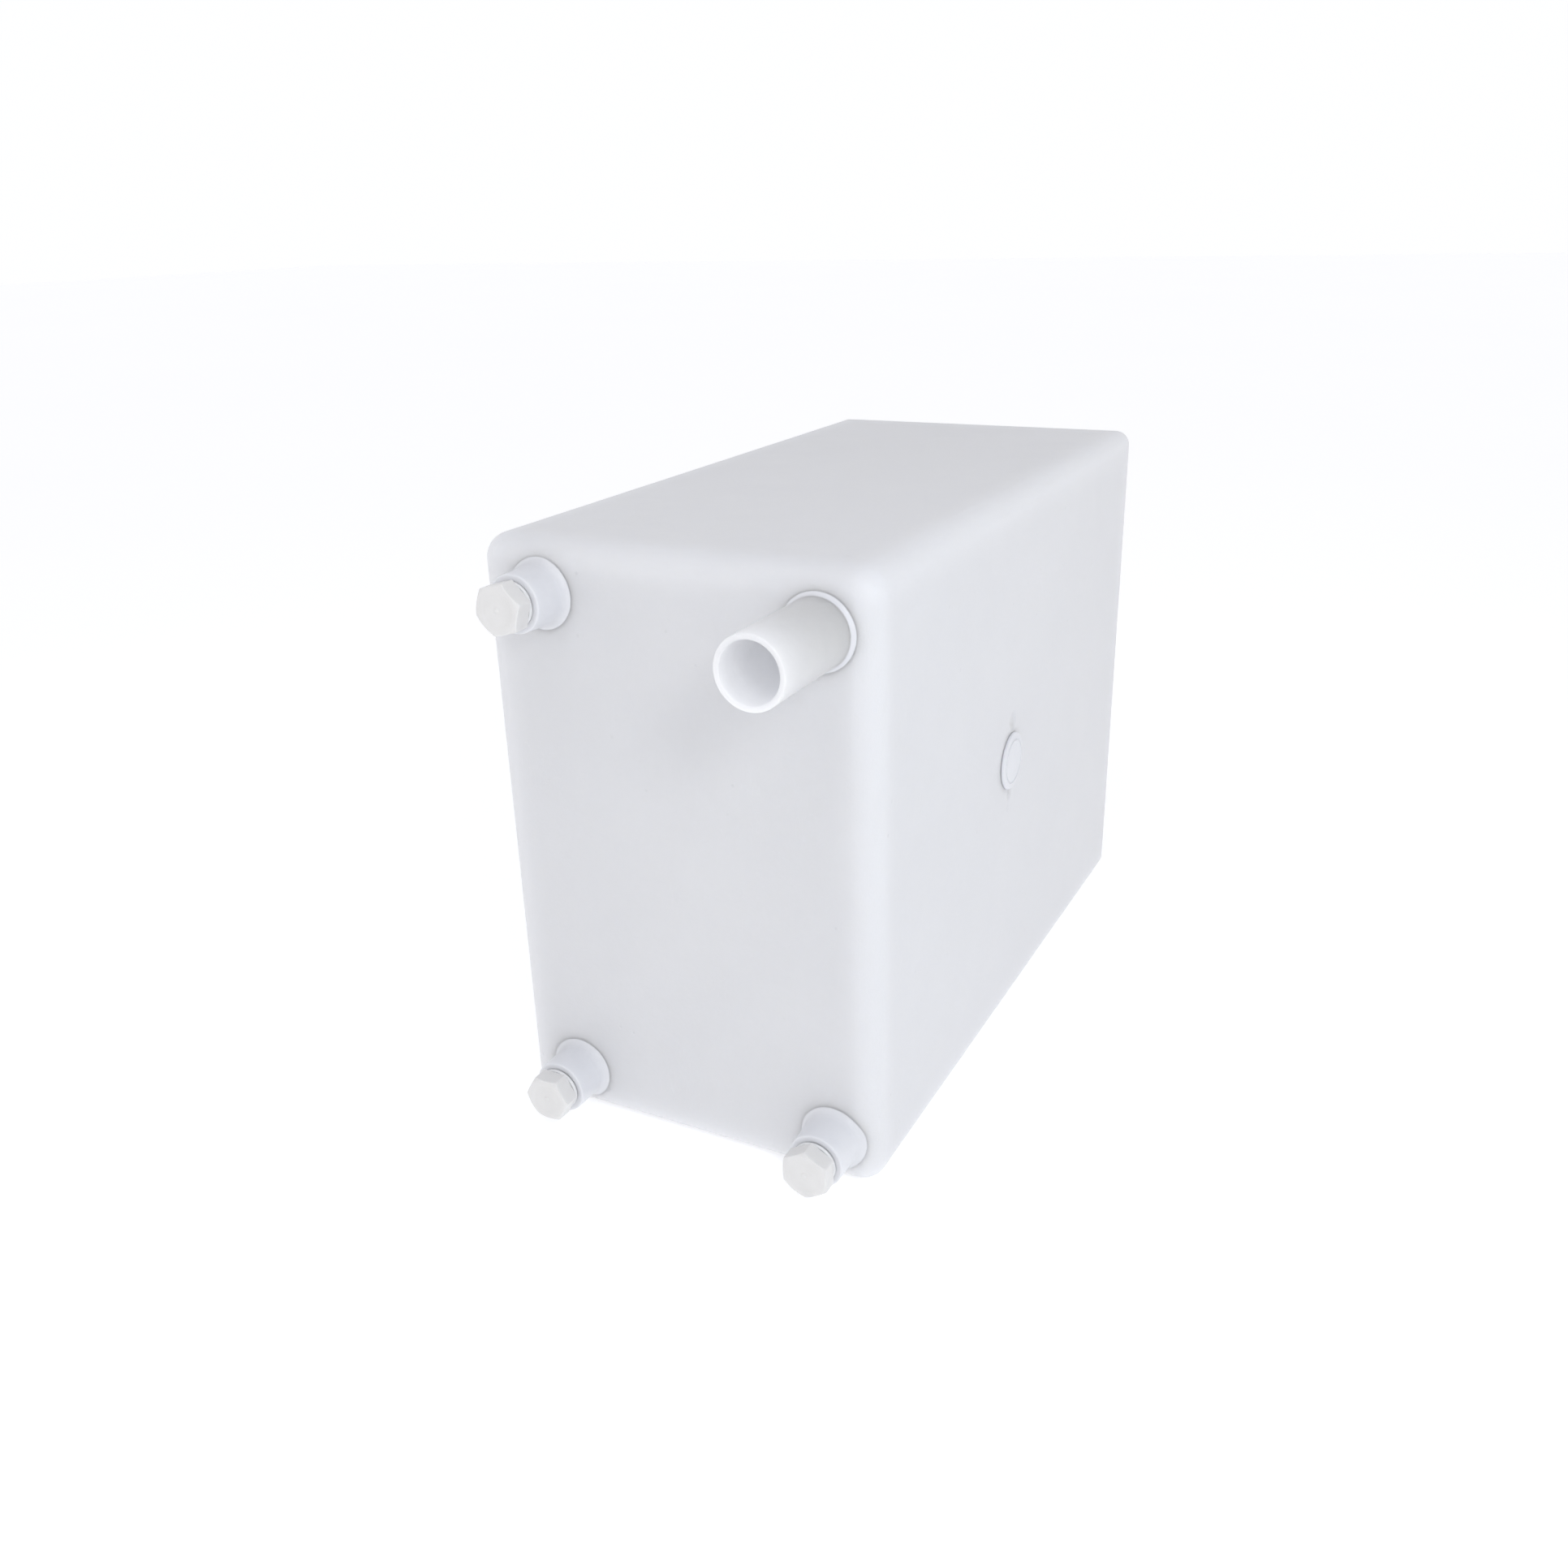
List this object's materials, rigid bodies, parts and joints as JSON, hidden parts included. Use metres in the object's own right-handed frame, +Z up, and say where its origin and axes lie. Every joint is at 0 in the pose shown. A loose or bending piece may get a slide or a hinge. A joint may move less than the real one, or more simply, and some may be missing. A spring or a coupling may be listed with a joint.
{
  "type": "fresh water tank",
  "caption": "Small rotomoulded polyethylene fresh water tank on its narrow side, with an open fill spout and hex-plugged threaded ports on one narrow end.",
  "frame": {"origin": "centre of the box's bottom face, midway between its sides and between its front and back", "axes": "+Z up; -Y towards the narrow front with the fittings; +X towards the right side, seen from the front"},
  "size_m": [0.2052, 0.4664, 0.3048],
  "materials": {
    "shell": "satin, faintly translucent natural white polyethylene with a fine orange peel",
    "fittings": "satin natural white polyethylene, smoother than the shell, welded on",
    "plugs": "satin injection-moulded white plastic, a little warmer than the shell",
    "thread_tape": "matt white PTFE tape, wound in overlapping layers"
  },
  "bodies": {
    "tank": {"tank_shell": "shell", "fill_spout": "fittings", "breather_disc": "fittings", "vent_coupling": "fittings", "drain_coupling": "fittings", "outlet_coupling": "fittings"},
    "vent_seal": {"vent_plug_tape": "thread_tape"},
    "vent_plug": {"vent_plug": "plugs"},
    "drain_seal": {"drain_plug_tape": "thread_tape"},
    "drain_plug": {"drain_plug": "plugs"},
    "outlet_seal": {"outlet_plug_tape": "thread_tape"},
    "outlet_plug": {"outlet_plug": "plugs"}
  },
  "joints": [
    {"name": "vent_plug_rise", "type": "slide", "parent": "tank", "child": "vent_seal", "axis": [0, -1, 0], "range_m": [0, 0.01271]},
    {"name": "vent_plug_turn", "type": "hinge", "parent": "vent_seal", "child": "vent_plug", "pos_m": [-0.0666, -0.2232, 0.2798], "axis": [0, -1, 0], "range_deg": [0, 2520]},
    {"name": "drain_plug_rise", "type": "slide", "parent": "tank", "child": "drain_seal", "axis": [0, -1, 0], "range_m": [0, 0.01271]},
    {"name": "drain_plug_turn", "type": "hinge", "parent": "drain_seal", "child": "drain_plug", "pos_m": [-0.0676, -0.2232, 0.024], "axis": [0, -1, 0], "range_deg": [0, 2520]},
    {"name": "outlet_plug_rise", "type": "slide", "parent": "tank", "child": "outlet_seal", "axis": [0, -1, 0], "range_m": [0, 0.01271]},
    {"name": "outlet_plug_turn", "type": "hinge", "parent": "outlet_seal", "child": "outlet_plug", "pos_m": [0.0786, -0.2232, 0.025], "axis": [0, -1, 0], "range_deg": [0, 2520]}
  ],
  "couplings": [
    {"joint": "vent_plug_rise", "follows": "vent_plug_turn", "m_per_rad": 0.00028875},
    {"joint": "drain_plug_rise", "follows": "drain_plug_turn", "m_per_rad": 0.00028875},
    {"joint": "outlet_plug_rise", "follows": "outlet_plug_turn", "m_per_rad": 0.00028875}
  ]
}
